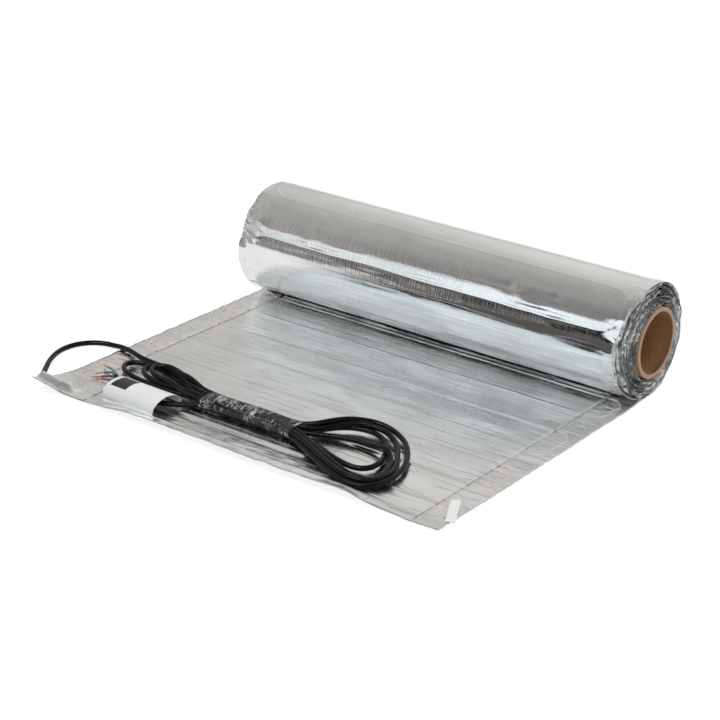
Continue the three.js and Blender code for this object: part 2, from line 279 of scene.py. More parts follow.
class HeatingKitLead(bpy.types.PropertyGroup):
    """The supply lead, its film and its label."""
    diameter: bpy.props.FloatProperty(
        name="Lead diameter", description="Outside diameter of the sheath", default=0.0056, unit="LENGTH")
    core_diameter: bpy.props.FloatProperty(
        name="Core diameter", description="Diameter of each insulated core", default=0.0022, unit="LENGTH")
    sheath: bpy.props.FloatVectorProperty(
        name="Sheath", description="Colour of the lead's sheath", default=(0.0035, 0.0035, 0.004), size=3,
        subtype="COLOR")
    label: bpy.props.FloatVectorProperty(
        name="Label", description="Colour of the label's paper", default=(0.86, 0.86, 0.85), size=3,
        subtype="COLOR")


class HeatingKitMat(bpy.types.PropertyGroup):
    """The foils, the cable between them and the roll."""
    foil: bpy.props.FloatVectorProperty(
        name="Foil", description="Colour of the aluminium foil", default=(0.9, 0.9, 0.89), size=3,
        subtype="COLOR")
    cable: bpy.props.FloatVectorProperty(
        name="Heating cable", description="Colour of the cable's insulation", default=(0.78, 0.6, 0.52),
        size=3, subtype="COLOR")
    wrinkle: bpy.props.FloatProperty(
        name="Wrinkle height", description="Height of the wrinkles in the foil", default=0.0005,
        unit="LENGTH")
    turns: bpy.props.IntProperty(
        name="Turns", description="Turns of mat that show on the ends of the roll", default=9)
    ragged: bpy.props.FloatProperty(
        name="Ragged edge", description="How far the edges of the turns wander along the axis",
        default=0.0022, unit="LENGTH")


class HeatingKitCore(bpy.types.PropertyGroup):
    """The cardboard core."""
    outer_diameter: bpy.props.FloatProperty(
        name="Core diameter", description="Outside diameter of the core", default=0.0764, unit="LENGTH")
    bore: bpy.props.FloatProperty(
        name="Core bore", description="Inside diameter of the core", default=0.067, unit="LENGTH")
    length: bpy.props.FloatProperty(
        name="Core length", description="Length of the core", default=0.51, unit="LENGTH")
    board: bpy.props.FloatVectorProperty(
        name="Cardboard", description="Colour of the core's board", default=(0.36, 0.19, 0.085), size=3,
        subtype="COLOR")


# materials

def clean_tree(tree):
    """Empties a node tree and hands back its node and link makers."""
    tree.nodes.clear()
    return tree.nodes.new, tree.links.new


def math_node(new, link, kind, a, b=None):
    """A Math node of that kind with a and b as its inputs, each a number or a socket; its output."""
    node = new("ShaderNodeMath")
    node.operation = kind
    for socket, value in zip(node.inputs, (a, b)):
        if value is None:
            continue
        if isinstance(value, (int, float)):
            socket.default_value = value
        else:
            link(value, socket)
    return node.outputs[0]


def scaled(new, link, vector, scale):
    """The vector with its three parts multiplied by the scale."""
    node = new("ShaderNodeMapping")
    node.inputs["Scale"].default_value = scale
    link(vector, node.inputs["Vector"])
    return node.outputs["Vector"]


def noise_node(new, link, vector, scale, detail=2.0, roughness=0.5, distortion=0.0):
    """A Noise Texture node at the vector, with one scale, or one for each axis."""
    node = new("ShaderNodeTexNoise")
    if isinstance(scale, tuple):
        vector = scaled(new, link, vector, scale)
        scale = 1.0
    for socket, value in (("Scale", scale), ("Detail", detail), ("Roughness", roughness),
                          ("Distortion", distortion)):
        node.inputs[socket].default_value = value
    link(vector, node.inputs["Vector"])
    return node


def ramp(new, link, value, stops):
    """A colour ramp with these (place, colour) stops, read at the value; its colour output."""
    node = new("ShaderNodeValToRGB")
    elements = node.color_ramp.elements
    while len(elements) < len(stops):
        elements.new(0.5)
    for element, (place, colour) in zip(elements, stops):
        element.position = place
        element.color = (*colour, 1) if len(colour) == 3 else colour
    link(value, node.inputs["Fac"])
    return node.outputs["Color"]


def grey(value):
    """A grey colour."""
    return (value, value, value)


def new_group(name, inputs, outputs):
    """A shader node group with sockets of these names; its makers and the sockets of its end nodes."""
    tree = bpy.data.node_groups.new(name, "ShaderNodeTree")
    for socket, kind, value in inputs:
        made = tree.interface.new_socket(socket, in_out="INPUT", socket_type=kind)
        if value is not None:
            made.default_value = value
    for socket, kind in outputs:
        tree.interface.new_socket(socket, in_out="OUTPUT", socket_type=kind)
    new, link = tree.nodes.new, tree.links.new
    return new, link, new("NodeGroupInput").outputs, new("NodeGroupOutput").inputs


def foil_crumple_group():
    """Crumpled foil: long creases along X, thin cut-like creases with short cross joints, flat facets between
    fine folds, hairline ripples that run across X, and dull rubbed patches. Height is the sum of these, each
    with its own weight."""
    new, link, given, out = new_group(
        "foil_crumple",
        [("Vector", "NodeSocketVector", None), ("Long folds", "NodeSocketFloat", 1.0),
         ("Creases", "NodeSocketFloat", 1.0), ("Facets", "NodeSocketFloat", 1.0),
         ("Hairlines", "NodeSocketFloat", 1.0)],
        [("Height", "NodeSocketFloat"), ("Rubbed", "NodeSocketFloat")])

    def noise(scale, detail, roughness=0.5):
        """Noise of the group's vector."""
        return noise_node(new, link, given["Vector"], scale, detail, roughness).outputs["Fac"]

    long_folds = noise((9, 130, 130), 3.0)
    warp = noise_node(new, link, given["Vector"], 45.0)
    bent = new("ShaderNodeMix")
    bent.data_type = "VECTOR"
    bent.inputs[0].default_value = 0.008
    link(given["Vector"], bent.inputs[4])
    link(warp.outputs["Color"], bent.inputs[5])
    planks = new("ShaderNodeTexBrick")
    planks.offset = 0.37
    for socket, value in (("Scale", 1.0), ("Mortar Size", 0.0009), ("Mortar Smooth", 0.8),
                          ("Brick Width", 0.083), ("Row Height", 0.0104)):
        planks.inputs[socket].default_value = value
    link(bent.outputs[1], planks.inputs["Vector"])
    some = ramp(new, link, noise((16, 60, 60), 2.0), [(0.48, grey(0)), (0.6, grey(1))])
    cut_lines = math_node(new, link, "MULTIPLY", planks.outputs["Fac"], some)
    facets = new("ShaderNodeTexVoronoi")
    facets.feature = "F1"
    facets.inputs["Scale"].default_value = 1.0
    link(scaled(new, link, bent.outputs[1], (110, 210, 210)), facets.inputs["Vector"])
    hairlines = noise((620, 70, 70), 3.0, 0.6)
    height = None
    parts = ((long_folds, "Long folds", 1.0), (cut_lines, "Creases", -0.8),
             (facets.outputs["Distance"], "Facets", 0.25), (hairlines, "Hairlines", 0.45))
    for value, weight, share in parts:
        part = math_node(new, link, "MULTIPLY", math_node(new, link, "MULTIPLY", value, given[weight]), share)
        height = part if height is None else math_node(new, link, "ADD", height, part)
    link(height, out["Height"])
    patches = noise((14, 30, 30), 5.0)
    link(ramp(new, link, patches, [(0.4, grey(0)), (0.62, grey(1))]), out["Rubbed"])


def speckle_group():
    """Fine dust and handling marks: a fine noise cut by a coarse one, from 0 to 1, and a grain height."""
    new, link, given, out = new_group(
        "handling_marks",
        [("Vector", "NodeSocketVector", None), ("Scale", "NodeSocketFloat", 400.0)],
        [("Marks", "NodeSocketFloat"), ("Grain", "NodeSocketFloat")])
    fine = noise_node(new, link, given["Vector"], 400.0, 6.0)
    link(given["Scale"], fine.inputs["Scale"])
    broad = noise_node(new, link, given["Vector"], 35.0, 3.0)
    cut = ramp(new, link, broad.outputs["Fac"], [(0.42, grey(0)), (0.7, grey(1))])
    spots = ramp(new, link, fine.outputs["Fac"], [(0.5, grey(0)), (0.72, grey(1))])
    link(math_node(new, link, "MULTIPLY", cut, spots), out["Marks"])
    link(fine.outputs["Fac"], out["Grain"])


def group_node(new, link, place, name, **values):
    """A placed node group with its vector linked to the place and its number inputs set."""
    node = new("ShaderNodeGroup")
    node.node_tree = bpy.data.node_groups[name]
    link(place, node.inputs["Vector"])
    for socket, value in values.items():
        node.inputs[socket.replace("_", " ")].default_value = value
    return node


def start_material(name, roughness, metallic=0.0, **sockets):
    """A material with one Principled shader; its makers, its shader and the object coordinates."""
    material = bpy.data.materials.new(name)
    material.use_nodes = True
    new, link = clean_tree(material.node_tree)
    shader = new("ShaderNodeBsdfPrincipled")
    shader.inputs["Roughness"].default_value = roughness
    shader.inputs["Metallic"].default_value = metallic
    for socket, value in sockets.items():
        shader.inputs[socket.replace("_", " ")].default_value = value
    link(shader.outputs[0], new("ShaderNodeOutputMaterial").inputs["Surface"])
    return new, link, shader, new("ShaderNodeTexCoord").outputs["Object"]


def bump(new, link, shader, height, distance):
    """A Bump node from the height into the shader's normal."""
    node = new("ShaderNodeBump")
    node.inputs["Distance"].default_value = distance
    node.inputs["Strength"].default_value = 1.0
    link(height, node.inputs["Height"])
    link(node.outputs["Normal"], shader.inputs["Normal"])


def mix_colour(new, link, factor, first, second):
    """The first colour where the factor is 0, and the second where it is 1."""
    node = new("ShaderNodeMix")
    node.data_type = "RGBA"
    link(factor, node.inputs[0])
    for socket, value in ((node.inputs[6], first), (node.inputs[7], second)):
        if isinstance(value, (tuple, list)):
            socket.default_value = (*value[:3], 1)
        else:
            link(value, socket)
    return node.outputs[2]


def foil_material(name, colour, roughness, folds, lines, facets, hairs, distance, metallic=1.0):
    """Aluminium foil: crumpled by the shared group, duller where it is rubbed."""
    new, link, shader, place = start_material(name, roughness, metallic=metallic)
    crumple = group_node(new, link, place, "foil_crumple", Long_folds=folds, Creases=lines, Facets=facets,
                         Hairlines=hairs)
    bump(new, link, shader, crumple.outputs["Height"], distance)
    dull = tuple(0.9 * c for c in colour)
    link(mix_colour(new, link, crumple.outputs["Rubbed"], tuple(colour), dull), shader.inputs["Base Color"])
    stops = [(0.0, grey(roughness)), (1.0, grey(1.45 * roughness))]
    rough = ramp(new, link, crumple.outputs["Rubbed"], stops)
    link(rough, shader.inputs["Roughness"])


def plastic_material(name, colour, roughness, marks_colour, amount, grain, **sockets):
    """Smooth plastic with faint handling marks and a fine grain."""
    new, link, shader, place = start_material(name, roughness, **sockets)
    marks = group_node(new, link, place, "handling_marks", Scale=700.0)
    fade = math_node(new, link, "MULTIPLY", marks.outputs["Marks"], amount)
    link(mix_colour(new, link, fade, tuple(colour), marks_colour), shader.inputs["Base Color"])
    rough = ramp(new, link, marks.outputs["Marks"], [(0.0, grey(roughness)), (1.0, grey(roughness + 0.25))])
    link(rough, shader.inputs["Roughness"])
    bump(new, link, shader, marks.outputs["Grain"], grain)


def cardboard_material(name, colour):
    """Wound board: paper plies in rings on the cut ends, a spiral seam and fibres on the walls."""
    new, link, shader, place = start_material(name, 0.85)
    split = new("ShaderNodeSeparateXYZ")
    centred = new("ShaderNodeMapping")
    centred.inputs["Location"].default_value = (0, -ROLL_Y, -ROLL_Z)
    link(place, centred.inputs["Vector"])
    link(centred.outputs["Vector"], split.inputs["Vector"])
    x, y, z = split.outputs
    turn = math_node(new, link, "DIVIDE", math_node(new, link, "ARCTAN2", z, y), FULL_TURN)
    along = math_node(new, link, "DIVIDE", x, 0.11)
    spiral = math_node(new, link, "FRACT", math_node(new, link, "ADD", turn, along))
    seam = ramp(new, link, spiral, [(0.0, grey(1)), (0.012, grey(0)), (0.988, grey(0)), (1.0, grey(1))])
    radius = math_node(new, link, "SQRT", math_node(
        new, link, "ADD", math_node(new, link, "MULTIPLY", y, y), math_node(new, link, "MULTIPLY", z, z)))
    plies = math_node(new, link, "SINE", math_node(new, link, "MULTIPLY", radius, FULL_TURN / 0.0008))
    fibres = noise_node(new, link, place, (180, 700, 700), 6.0)
    blotch = noise_node(new, link, place, 40.0, 3.0)
    outside = math_node(new, link, "GREATER_THAN", math_node(new, link, "ABSOLUTE", x), CORE_FACE)
    wall = mix_colour(new, link, blotch.outputs["Fac"], tuple(0.8 * c for c in colour),
                      tuple(1.25 * c for c in colour))
    wall = mix_colour(new, link, math_node(new, link, "MULTIPLY", seam, 0.4), wall,
                      (0.75 * colour[0], 0.4 * colour[1], 0.3 * colour[2]))
    cut = mix_colour(new, link, fibres.outputs["Fac"], (0.42, 0.27, 0.18), (0.62, 0.43, 0.31))
    link(mix_colour(new, link, outside, wall, cut), shader.inputs["Base Color"])
    rings = math_node(new, link, "MULTIPLY", math_node(new, link, "MULTIPLY", plies, outside), 0.4)
    height = math_node(new, link, "ADD", fibres.outputs["Fac"], rings)
    height = math_node(new, link, "SUBTRACT", height, math_node(new, link, "MULTIPLY", seam, 0.4))
    bump(new, link, shader, height, 0.00025)


def film_material(name):
    """Clear wrapping film: dark where it clings to the lead, with pale crinkle streaks across it that are
    painted highlights.
    """
    new, link, shader, place = start_material(name, 0.16, Specular_IOR_Level=0.75)
    crinkle = noise_node(new, link, place, (520, 70, 150), 4.0, distortion=0.6)
    lines = ramp(new, link, crinkle.outputs["Fac"],
                 [(0.0, grey(0)), (0.52, grey(0)), (0.6, grey(1)), (0.66, grey(0.1)), (1.0, grey(0))])
    broad = noise_node(new, link, place, 55.0)
    where = ramp(new, link, broad.outputs["Fac"], [(0.38, grey(0)), (0.6, grey(1))])
    # painted highlights: pale crinkle bands in broad patches, lighter in colour and more opaque than the rest
    # of the film
    painted_highlight_streaks = math_node(new, link, "MULTIPLY", lines, where)
    link(mix_colour(new, link, painted_highlight_streaks, (0.03, 0.03, 0.032), (0.6, 0.61, 0.63)), shader.inputs["Base Color"])
    alpha = math_node(new, link, "ADD", math_node(new, link, "MULTIPLY", painted_highlight_streaks, 0.5), 0.3)
    link(alpha, shader.inputs["Alpha"])
    bump(new, link, shader, crinkle.outputs["Fac"], 0.0012)


def label_material(name, colour):
    """Coated paper with one plain printed block near its left end, and a fine grain."""
    new, link, shader, place = start_material(name, 0.45)
    marks = group_node(new, link, place, "handling_marks", Scale=900.0)
    face = new("ShaderNodeUVMap")
    face.uv_map = "label"
    split = new("ShaderNodeSeparateXYZ")
    link(face.outputs["UV"], split.inputs["Vector"])
    u, v, _ = split.outputs
    inside = None
    for value, low, high in ((u, 0.06, 0.36), (v, 0.3, 0.7)):
        above = math_node(new, link, "GREATER_THAN", value, low)
        below = math_node(new, link, "LESS_THAN", value, high)
        both = math_node(new, link, "MULTIPLY", above, below)
        inside = both if inside is None else math_node(new, link, "MULTIPLY", inside, both)
    paper = mix_colour(new, link, math_node(new, link, "MULTIPLY", marks.outputs["Marks"], 0.25),
                       tuple(colour), (0.6, 0.6, 0.58))
    link(mix_colour(new, link, inside, paper, (0.015, 0.014, 0.014)), shader.inputs["Base Color"])
    bump(new, link, shader, marks.outputs["Grain"], 0.00005)


def copper_material(name):
    """Stranded bare copper with a dull patina."""
    new, link, shader, place = start_material(name, 0.32, metallic=1.0)
    marks = group_node(new, link, place, "handling_marks", Scale=1500.0)
    link(mix_colour(new, link, marks.outputs["Grain"], (0.85, 0.36, 0.2), (0.7, 0.25, 0.13)),
         shader.inputs["Base Color"])
    bump(new, link, shader, marks.outputs["Grain"], 0.0002)


# shapes

def ridge_rise(y):
    """How far the cable lifts the cover foil at y: for each run, a bell of the ridge's height and width."""
    away = y[..., None] - np.array(RUNS_Y)
    return RIDGE_RISE * np.exp(-(away / RIDGE_WIDTH) ** 2).sum(-1)


def front_edge(x):
    """The mat's cut front edge: a straight line that wanders by a millimetre or two."""
    return FRONT_Y + 0.0012 * line_noise(x / 0.045, 11) - 0.0006 * line_noise(x / 0.012, 12)


def corner_lift(x, y):
    """The lifted front left corner: rises with the square of how far a point is past a slanting fold."""
    past = (-0.226 - x) + 0.75 * (-0.187 - y)
    return 0.0095 * np.clip(past / 0.045, 0, 1.2) ** 2


def loose_parts(x, y):
    """Where the mat lies loose: the strip in front of the lead rises a few millimetres towards the cut edge
    and is rumpled, and the last stretch before the roll lifts to meet it."""
    span = step(x, -0.19, -0.12) * (1 - step(x, 0.13, 0.2))
    near = np.clip(1 - (y - FRONT_Y) / 0.036, 0, 1)
    rumple = 0.0009 * lattice_noise(x / 0.026, y / 0.012, 25)
    rumple += 0.0005 * lattice_noise(x / 0.01, y / 0.006, 26)
    strip = span * (0.0052 * near ** 1.1 + near ** 0.5 * np.abs(rumple))
    return strip + 0.0012 * step(y, ROLL_Y - 0.03, ROLL_Y - 0.012)


def base_foil_grid(x, y, wrinkle):
    """Height of the base foil's top: flat under the cover, wrinkled in the side margins, and lifted at the
    front left corner."""
    margin = step(np.abs(x), 0.218, 0.226)
    folds = np.abs(lattice_noise(x / 0.03, y / 0.007, 21))
    folds += 0.5 * np.abs(lattice_noise(x / 0.009, y / 0.004, 22))
    lip = step(-(y - FRONT_Y), -0.006, 0.0) * (0.5 + 0.5 * line_noise(x / 0.03, 23)) * 0.0012
    return BASE_TOP + margin * wrinkle * 2.1 * folds + lip + corner_lift(x, y) + loose_parts(x, y)


def cover_foil_grid(x, y, wrinkle):
    """Height of the cover foil's top: flat, raised over the cable's runs, with long folds along X, short
    creases, and soft slanting folds near the roll."""
    long_folds = lattice_noise(x / 0.16, y / 0.011, 31) + 0.5 * lattice_noise(x / 0.07, y / 0.005, 32)
    short_folds = creases(x / 0.018, y / 0.03, 33) * np.clip(lattice_noise(x / 0.08, y / 0.05, 34), 0, 1)
    soft_folds = lattice_noise(x / 0.03 + y / 0.05, y / 0.016, 35) * step(y, ROLL_Y - 0.21, ROLL_Y - 0.15)
    lift = wrinkle * (0.3 * long_folds + 0.35 * np.clip(short_folds, 0, 1) + 0.55 * soft_folds)
    return COVER_TOP + ridge_rise(y) + lift + corner_lift(x, y) + loose_parts(x, y)


# operators

class HEATINGKIT_OT_materials(bpy.types.Operator):
    """Build the shared node groups and the materials of every finish"""
    bl_idname = "heatingkit.materials"
    bl_label = "Finishes"

    def execute(self, context):
        mat = context.scene.heating_mat
        lead = context.scene.heating_lead
        core = context.scene.heating_core
        foil_crumple_group()
        speckle_group()
        foil_material("base foil", mat.foil, 0.24, 0.5, 0.5, 1.5, 0.15, 0.0009)
        foil_material("cover foil", mat.foil, 0.2, 0.4, 0.8, 0.6, 0.12, 0.0006)
        foil_material("rolled foil", mat.foil, 0.07, 0.3, 0.0, 0.1, 0.5, 0.0007)
        foil_material("cut foil edges", mat.foil, 0.12, 0.2, 0.0, 2.0, 0.3, 0.0009, metallic=0.8)
        plastic_material("cable insulation", mat.cable, 0.42, (0.85, 0.72, 0.65), 0.5, 0.0001)
        plastic_material("lead sheath", lead.sheath, 0.17, (0.02, 0.02, 0.02), 0.5, 0.00003,
                         Specular_IOR_Level=0.16)
        for name, colour, marks in (("green", (0.02, 0.26, 0.14), (0.4, 0.6, 0.5)),
                                    ("blue", (0.04, 0.12, 0.34), (0.4, 0.5, 0.7)),
                                    ("brown", (0.22, 0.05, 0.025), (0.5, 0.3, 0.2))):
            plastic_material(name + " insulation", colour, 0.35, marks, 0.3, 0.00005)
        plastic_material("tag tape", (0.86, 0.86, 0.85), 0.55, (0.6, 0.6, 0.58), 0.4, 0.0001)
        cardboard_material("core board", core.board)
        film_material("wrapping film")
        label_material("label paper", lead.label)
        copper_material("bare copper")
        return {"FINISHED"}


class HEATINGKIT_OT_camera(bpy.types.Operator):
    """Place the camera at the photograph's viewing angle"""
    bl_idname = "heatingkit.camera"
    bl_label = "Camera"

    def execute(self, context):
        right = (0.80275541, 0.59563187, 0.02839776)
        up = (-0.25394853, 0.29839152, 0.92003948)
        look = (-0.53953118, 0.74577824, -0.39079524)
        data = bpy.data.cameras.new("camera")
        data.sensor_width = 36
        data.lens = 103.25
        data.clip_end = 50
        camera = bpy.data.objects.new("camera", data)
        place = Matrix.Identity(4)
        place.col[0][:3] = right
        place.col[1][:3] = up
        place.col[2][:3] = [-c for c in look]
        place.col[3][:3] = (1.15761, -1.60649, 0.86678)
        camera.matrix_world = place
        context.scene.collection.objects.link(camera)
        context.scene.camera = camera
        return {"FINISHED"}


def waist_point(end, lane, layer):
    """A point at an end of the waist, in millimetres from the roll's axis, in a lane and a layer of it."""
    return (end, -311 + WAIST_LANES_MM[lane], LAYERS_MM[layer])


def hank_controls():
    """The control points of the lead's turns, in order: each pass through the waist in its own lane, each
    right turn round the big loop and each left turn round the small one, in millimetres from the axis."""
    left, middle, right = -80, -26, 28
    far_out, far_in, near_in, near_out = 0, 1, 2, 3
    passes = [(far_out, 0), (near_in, 0), (far_in, 0), (near_in, 1), (far_in, 1), (near_out, 1), (far_out, 1),
              (near_out, 0)]
    right_turns = [
        [(44, -294, 7), (52, -278, 7), (64, -267, 7), (79, -261, 7), (94, -262, 6.8), (110, -271, 6.6),
         (125, -290, 6.5), (134, -312, 6.5), (135, -329, 6.5), (127, -338, 6.6), (112, -338, 7),
         (88, -331, 7), (58, -319, 6.6)],
        [(48, -302, 6.5), (64, -294, 6.5), (82, -289, 6.5), (101, -287, 6.5), (121, -290, 9.5),
         (137, -299, 8.5), (148, -312, 6.6), (154, -330, 6.6), (152, -347, 8), (142, -356, 10),
         (122, -354, 11.8), (91, -341, 12), (58, -325, 12)],
        [(45, -299, 13), (52, -284, 14), (64, -269, 14), (80, -259, 13), (97, -256, 12), (115, -263, 9.5),
         (132, -281, 7), (147, -307, 6.6), (156, -333, 8.5), (155, -352, 11), (144, -363, 12),
         (124, -361, 12), (91, -347, 12), (56, -330, 12)],
        [(45, -296, 16), (52, -281, 17), (62, -266, 17), (77, -252, 15), (96, -246, 11), (118, -254, 7),
         (141, -277, 6.5), (158, -308, 6.5), (163, -336, 6.5), (159, -356, 6.5), (147, -368, 6.5),
         (120, -363, 6.5), (88, -349, 6.5), (54, -332, 6.5)],
    ]
    left_turns = [
        [(-112, -313, 6.5), (-136, -315, 6.5), (-158, -316, 6.5), (-178, -314, 6.5), (-198, -309, 6.5),
         (-212, -299, 6.5), (-215, -287, 6.5), (-207, -280, 6.5), (-192, -279, 6.5), (-172, -281, 6.5),
         (-144, -289, 6.5), (-112, -299, 6.5)],
        [(-112, -314, 11.7), (-136, -314, 11.7), (-156, -312, 11.7), (-173, -307, 11.8), (-185, -298, 11.9),
         (-187, -287, 11.9), (-179, -280, 11.9), (-163, -281, 11.9), (-145, -287, 11.8), (-118, -297, 11.7)],
        [(-112, -316, 12), (-134, -313, 13), (-152, -309, 14.5), (-167, -304, 15.5), (-176, -295, 16),
         (-174, -286, 16), (-163, -282, 15.5), (-148, -285, 14.5), (-124, -295, 12.5)],
    ]
    controls = [(-200, -271.5, 7), (-184, -272.5, 8.5), (-166, -275.5, 9), (-146, -281, 8.5),
                (-126, -288, 7.5), (-104, -297, 6.7)]
    for k, (lane, layer) in enumerate(passes):
        ends = (left, middle, right) if k % 2 == 0 else (right, middle, left)
        controls += [waist_point(x, lane, layer) for x in ends]
        if k % 2 == 0:
            controls += right_turns[k // 2]
        elif k // 2 < 3:
            controls += left_turns[k // 2]
    return controls


def settle(line, radius, turns):
    """Lays the lead's turns on each other. Each turn, points nearer than a diameter to another part of the
    lead move apart by half of what is missing, each point moves a little towards the middle of its
    neighbours and down, and none goes below what it lies on."""
    line = line.copy()
    home = line.copy()
    number = np.arange(len(line))
    spacing = length_of(line) / (len(line) - 1)
    apart = np.abs(number[:, None] - number[None]) > 3.2 * radius / spacing
    for _ in range(turns):
        gap = line[:, None] - line[None]
        distance = np.sqrt((gap ** 2).sum(-1)) + 1e-9
        missing = np.clip(2.02 * radius - distance, 0, None) * apart
        push = (gap / distance[..., None] * missing[..., None]).sum(1) * 0.5
        shares = np.maximum((missing > 0).sum(1), 1)[:, None]
        line += push / np.sqrt(shares)
        line[1:-1] += 0.22 * (0.5 * (line[:-2] + line[2:]) - line[1:-1])
        line[:, 2] -= 0.00004
        line += 0.03 * (home - line) * np.array([1, 1, 0.25])
        under = np.interp(line[:, 0], [-0.262, -0.25, -0.237, -0.224], [0.00285, 0.0043, 0.0057, 0.0062])
        line[:, 2] = np.maximum(line[:, 2], under)
        line[:8] = home[:8]
        line[-26:] = home[-26:]
    return line


def lead_line(radius):
    """The lead's whole centreline: its route from the splice, its turns in the hank and its tail."""
    controls = np.vstack([LEAD_ROUTE, from_axis(hank_controls()), TAIL_ROUTE])
    line = curve_through(controls, 0.004)
    return evenly(settle(line, radius, 90), 0.0035)


class HEATINGKIT_OT_lead(bpy.types.Operator):
    """Build the supply lead as one cord, from its splice through the hank to its bare end"""
    bl_idname = "heatingkit.lead"
    bl_label = "Supply lead"

    def execute(self, context):
        radius = context.scene.heating_lead.diameter / 2
        line = lead_line(radius)
        piece = tube_piece("supply_lead_cord", line, radius, 18, bpy.data.materials["lead sheath"])
        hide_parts("supply_lead", "lead_hank", "lead_tail")
        piece["route"] = [float(c) for c in line.reshape(-1)]
        return {"FINISHED"}


def stored_route():
    """The lead's centreline as its piece keeps it."""
    return np.array(bpy.data.objects["supply_lead_cord"]["route"]).reshape(-1, 3)


class HEATINGKIT_OT_wrap(bpy.types.Operator):
    """Build the film wrapped round the hank's waist"""
    bl_idname = "heatingkit.wrap"
    bl_label = "Film wrap"

    def execute(self, context):
        radius = context.scene.heating_lead.diameter / 2 + 0.0004
        line = stored_route()
        stations = np.linspace(WAIST_LEFT, WAIST_RIGHT, 90)
        bands = []
        for x in stations:
            here = line[np.abs(line[:, 0] - x) < 0.004]
            here = here[np.abs(here[:, 1] - WAIST_Y) < 0.03]
            bands.append([*here[:, 1:].min(0), *here[:, 1:].max(0)])
        low_y, low_z, high_y, high_z = np.array(bands).T
        kernel = np.ones(9) / 9

        def soft(a):
            """The mean of nine neighbours along the waist."""
            return np.convolve(np.pad(a, 4, mode="edge"), kernel, mode="valid")

        low_y, low_z = soft(low_y) - radius, soft(low_z) - radius
        high_y, high_z = soft(high_y) + radius, soft(high_z) + radius
        turn = angles(72)
        x = stations[:, None] + 0 * turn
        c, s = np.cos(turn), np.sin(turn)
        across = np.sign(c) * np.abs(c) ** 0.62
        upward = np.sign(s) * np.abs(s) ** 0.62
        pull = 0.00035 * creases(x / 0.0035 + 0.6 * s, (turn * 12 / FULL_TURN) + 0 * x, 41, 12)
        pull += 0.0004 * lattice_noise(x / 0.02, (turn * 8 / FULL_TURN) + 0 * x, 42, 8)
        half_y = ((high_y - low_y) / 2)[:, None] + pull
        half_z = ((high_z - low_z) / 2)[:, None] + pull
        share = np.linspace(0, 1, len(stations))[:, None]
        bell = np.abs(np.sin(math.pi * share)) ** 0.7
        half_z = half_z + 0.0016 * bell * np.clip(s, 0, 1) ** 2
        half_y = half_y + 0.001 * bell * np.clip(c, 0, 1)
        y = ((high_y + low_y) / 2)[:, None] + half_y * across
        z = ((high_z + low_z) / 2)[:, None] + half_z * upward
        outer = np.stack([x, y, z], axis=-1)
        middle = outer.mean(axis=1, keepdims=True)
        inner = outer + (middle - outer) / np.linalg.norm(middle - outer, axis=-1, keepdims=True) * 0.00015
        wall = np.concatenate([outer, inner[::-1]], axis=0)
        piece = ring_piece("film_wrap", wall, "wrapping film")
        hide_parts("hank_wrap")
        return {"FINISHED"}


class HEATINGKIT_OT_label(bpy.types.Operator):
    """Build the label folded over the end of the lead"""
    bl_idname = "heatingkit.label"
    bl_label = "Lead label"

    def execute(self, context):
        along = np.linspace(0, 1, 40)[:, None]
        over = np.linspace(0, 1, 60)[None, :]
        x = (-0.183 + 0.075 * along) + 0 * over
        front = ROLL_Y - 0.3605 - 0.0075 * along
        angle = math.pi * over
        half = 0.0195 + 0.0025 * along
        y = front + half * (1 - np.cos(angle))
        rise = 0.0125 + 0.0022 * along
        z = COVER_TOP + 0.0008 + rise * np.sin(angle) ** 0.8
        z += 0.0004 * lattice_noise(x / 0.03, over * 6 + 0 * x, 51)
        top = np.stack([x, y + 0 * x, z], axis=-1)
        middle = np.stack([x, front + half + 0 * x, 0 * x], axis=-1)
        inward = middle - top
        inward[..., 0] = 0
        inward /= np.linalg.norm(inward, axis=-1, keepdims=True)
        bottom = top + inward * 0.00018
        piece = sheet_piece("label", top, bottom, bpy.data.materials["label paper"])
        add_uv(piece, "label", np.stack([along + 0 * over, over + 0 * along], axis=-1))
        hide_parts("lead_label")
        return {"FINISHED"}


def add_uv(piece, name, grid):
    """A UV map that gives each vertex of a sheet, top and bottom alike, its place on the grid."""
    layer = piece.data.uv_layers.new(name=name)
    corners = np.zeros(len(piece.data.loops), dtype=np.int32)
    piece.data.loops.foreach_get("vertex_index", corners)
    per_vertex = np.vstack([grid.reshape(-1, 2)] * 2)
    layer.data.foreach_set("uv", per_vertex[corners].ravel())


def core_wire(colour, route, diameter):
    """An insulated core of that colour with a bare copper tip, as one piece with two finishes."""
    line = curve_through(route, 0.0012)
    sides = 12
    insulated = line[:len(line) - BARE_POINTS + 1]
    copper = line[len(line) - BARE_POINTS - 1:]
    rings = np.vstack([tube_rings(insulated, diameter / 2, sides),
                       tube_rings(copper, diameter / 2 * COPPER_SHARE, sides)])
    covered = tube_faces(len(insulated), sides)
    faces = covered + tube_faces(len(copper), sides, first=len(insulated) * sides)
    finishes = [bpy.data.materials[colour + " insulation"], bpy.data.materials["bare copper"]]
    piece = put_mesh(colour + "_wire", rings.reshape(-1, 3), faces, finishes)
    index = np.zeros(len(piece.data.polygons), dtype=np.int32)
    index[len(covered):] = 1
    piece.data.polygons.foreach_set("material_index", index)
    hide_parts(colour + "_core")
    return piece


class HEATINGKIT_OT_cores(bpy.types.Operator):
    bl_idname = "heatingkit.cores"
    bl_label = "Stripped cores"

    def execute(self, context):
        lead = context.scene.heating_lead
        made = [core_wire(colour, from_axis(route), lead.core_diameter)
                for colour, route in CORE_ROUTES_MM.items()]
        cord = bpy.data.objects["supply_lead_cord"]
        del cord["route"]
        return {"FINISHED"}


